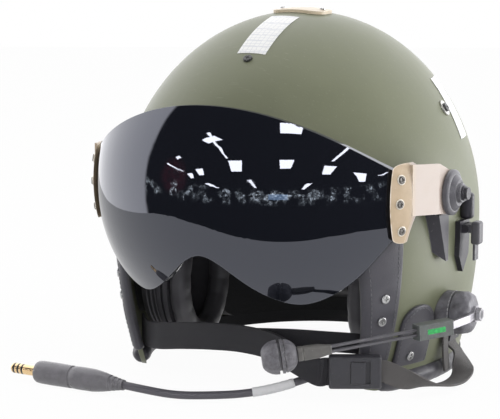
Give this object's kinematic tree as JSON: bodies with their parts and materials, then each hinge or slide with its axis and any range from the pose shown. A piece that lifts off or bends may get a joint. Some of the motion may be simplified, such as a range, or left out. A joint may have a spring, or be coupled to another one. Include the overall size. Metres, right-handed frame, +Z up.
{
  "type": "pilot flight helmet",
  "caption": "hard flight helmet with a tilting tinted visor over a clear one, boom microphone, chin strap and plug lead",
  "frame": {"origin": "on the table, at the middle of the head opening", "axes": "+Z up, -Y is the way the wearer looks, +X is the wearer's left"},
  "size_m": [0.2989, 0.3098, 0.2536],
  "materials": {
    "shell_paint": "semi-gloss olive green paint on moulded composite",
    "trim_rubber": "matt black rubber channel",
    "liner_foam": "matt charcoal foam",
    "pad_leather": "soft black leather",
    "cup_plastic": "satin black plastic",
    "seal_leather": "smooth black leather",
    "flap_leather": "grained black leather",
    "screw_steel": "plain steel",
    "screw_brass": "dull brass",
    "screw_black": "blackened steel",
    "strap_webbing": "black woven webbing",
    "buckle_plastic": "satin black plastic",
    "tape_white": "white reflective tape with a fine cell pattern",
    "plate_tan": "satin tan paint",
    "fitting_black": "matt black plastic",
    "visor_tint": "polished dark smoke tint",
    "visor_clear": "polished clear",
    "lever_silver": "dull aluminium",
    "key_green": "bright green plastic",
    "cord_rubber": "dark grey jacket",
    "braid_grey": "grey brown braid",
    "sleeve_white": "white marker sleeve",
    "plug_rubber": "satin dark grey moulding",
    "plug_brass": "polished brass",
    "mic_plastic": "matt black plastic and foam"
  },
  "bodies": {
    "helmet": {"outer_shell": "shell_paint", "edge_trim": "trim_rubber", "impact_liner": "liner_foam", "crown_pad": "pad_leather", "brow_pad": "pad_leather", "nape_pad": "pad_leather", "ear_cup_left": "cup_plastic", "ear_cup_right": "cup_plastic", "ear_seal_left": "seal_leather", "ear_seal_right": "seal_leather", "earphones": "cup_plastic", "cup_spacers": "liner_foam", "cheek_flap_left": "flap_leather", "cheek_flap_right": "flap_leather", "edge_rolls": "flap_leather", "anchor_tabs": "flap_leather", "lobe_screws": "screw_steel", "chin_strap": "strap_webbing", "chin_strap_inner": "strap_webbing", "chin_strap_left": "strap_webbing", "strap_tail": "strap_webbing", "strap_anchor": "fitting_black", "buckle_body": "buckle_plastic", "front_tape": "tape_white", "side_tapes": "tape_white", "crown_plate": "plate_tan", "crown_screws": "screw_brass", "shell_screws": "screw_black", "screw_washers": "screw_steel", "pivot_bases": "fitting_black", "pivot_posts": "screw_black", "lock_base": "fitting_black", "lock_housing": "fitting_black", "boom_hub": "fitting_black", "boom_nut": "screw_steel", "cord_gland": "cord_rubber", "comms_cord": "cord_rubber", "braided_sleeve": "braid_grey", "marker_sleeve": "sleeve_white", "plug_body": "plug_rubber", "plug_contacts": "plug_brass", "plug_rings": "fitting_black"},
    "outer_visor": {"outer_visor": "visor_tint", "visor_arm_left": "plate_tan", "visor_arm_right": "plate_tan", "visor_screws": "screw_steel"},
    "inner_visor": {"inner_visor": "visor_clear", "inner_visor_arms": "fitting_black"},
    "knob_left": {"pivot_knob_left": "fitting_black"},
    "knob_right": {"pivot_knob_right": "fitting_black"},
    "lock_lever": {"lock_lever": "fitting_black"},
    "boom": {"boom_cap": "fitting_black", "boom_lever": "lever_silver", "boom_clamp": "fitting_black"},
    "boom_key": {"boom_lock_key": "key_green"},
    "boom_slide": {"boom_rods": "screw_black", "mic_holder": "fitting_black"},
    "microphone": {"mic_rear": "mic_plastic", "mic_front": "mic_plastic"},
    "buckle_release": {"buckle_release": "buckle_plastic"}
  },
  "joints": [
    {"name": "outer_visor_tilt", "type": "hinge", "parent": "helmet", "child": "outer_visor", "pos_m": [0, -0.033, 0.136], "axis": [-1, 0, 0], "range_deg": [0, 65]},
    {"name": "inner_visor_tilt", "type": "hinge", "parent": "helmet", "child": "inner_visor", "pos_m": [0, -0.033, 0.136], "axis": [-1, 0, 0], "range_deg": [0, 55]},
    {"name": "knob_left_turn", "type": "hinge", "parent": "helmet", "child": "knob_left", "pos_m": [0, -0.033, 0.136], "axis": [1, 0, 0], "range_deg": [0, 180]},
    {"name": "knob_right_turn", "type": "hinge", "parent": "helmet", "child": "knob_right", "pos_m": [0, -0.033, 0.136], "axis": [-1, 0, 0], "range_deg": [0, 180]},
    {"name": "lock_lever_lift", "type": "hinge", "parent": "helmet", "child": "lock_lever", "pos_m": [0.1305, -0.002, 0.107], "axis": [0, -1, 0], "range_deg": [0, 24]},
    {"name": "boom_swing", "type": "hinge", "parent": "helmet", "child": "boom", "pos_m": [0, -0.015, 0.05], "axis": [1, 0, 0], "range_deg": [-12, 12]},
    {"name": "boom_key_press", "type": "slide", "parent": "boom", "child": "boom_key", "axis": [-0.8176, 0.5758, 0], "range_m": [0, 0.0009], "stiffness_N_per_m": 800},
    {"name": "boom_reach", "type": "slide", "parent": "boom", "child": "boom_slide", "axis": [-0.575, -0.8163, -0.0544], "range_m": [0, 0.012]},
    {"name": "microphone_turn", "type": "hinge", "parent": "boom_slide", "child": "microphone", "pos_m": [0.055, -0.1444, 0.0386], "axis": [0.8619, 0.4886, 0.1357], "range_deg": [-90, 90]},
    {"name": "buckle_release_slide", "type": "slide", "parent": "helmet", "child": "buckle_release", "axis": [0.9, 0.436, 0], "range_m": [0, 0.003], "stiffness_N_per_m": 300}
  ]
}
